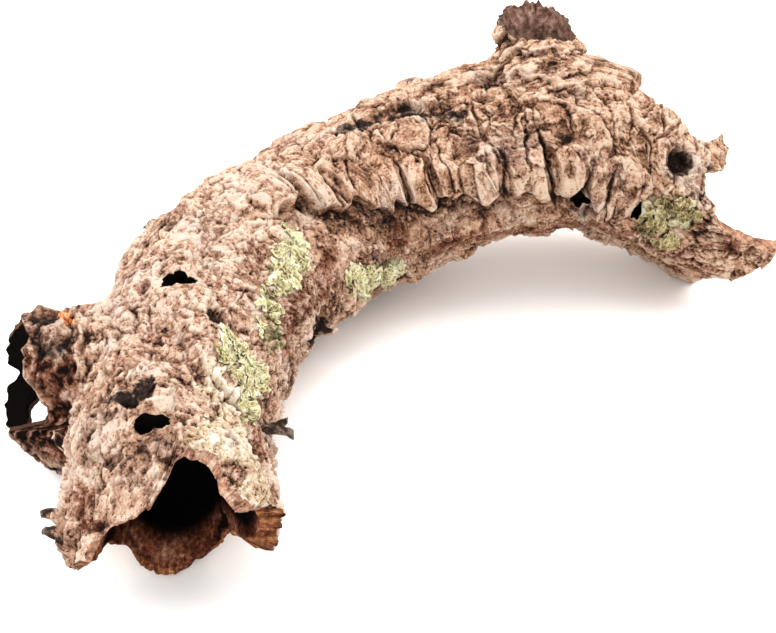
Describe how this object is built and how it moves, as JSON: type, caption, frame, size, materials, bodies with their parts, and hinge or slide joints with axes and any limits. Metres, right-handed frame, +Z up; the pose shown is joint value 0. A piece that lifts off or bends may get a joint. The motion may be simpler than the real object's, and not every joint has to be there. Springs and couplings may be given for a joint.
{
  "type": "piece of cork bark",
  "caption": "Bent hollow tube of rough cork bark with broken mouths, two side collars, small holes and patches of lichen.",
  "frame": {"origin": "middle of the resting box on the floor", "axes": "+Z up; +X from the near mouth's side towards the far end; -Y is the way the near mouth opens"},
  "size_m": [0.4739, 0.418, 0.1643],
  "materials": {
    "bark": "dry rough cork bark, tan to pinkish grey",
    "lichen": "dry matt pale yellow-green lichen crust"
  },
  "bodies": {
    "root": {"cork_bark": "bark", "lichen_bend": "lichen", "lichen_mouth": "lichen", "lichen_under": "lichen", "lichen_far": "lichen"}
  },
  "joints": []
}
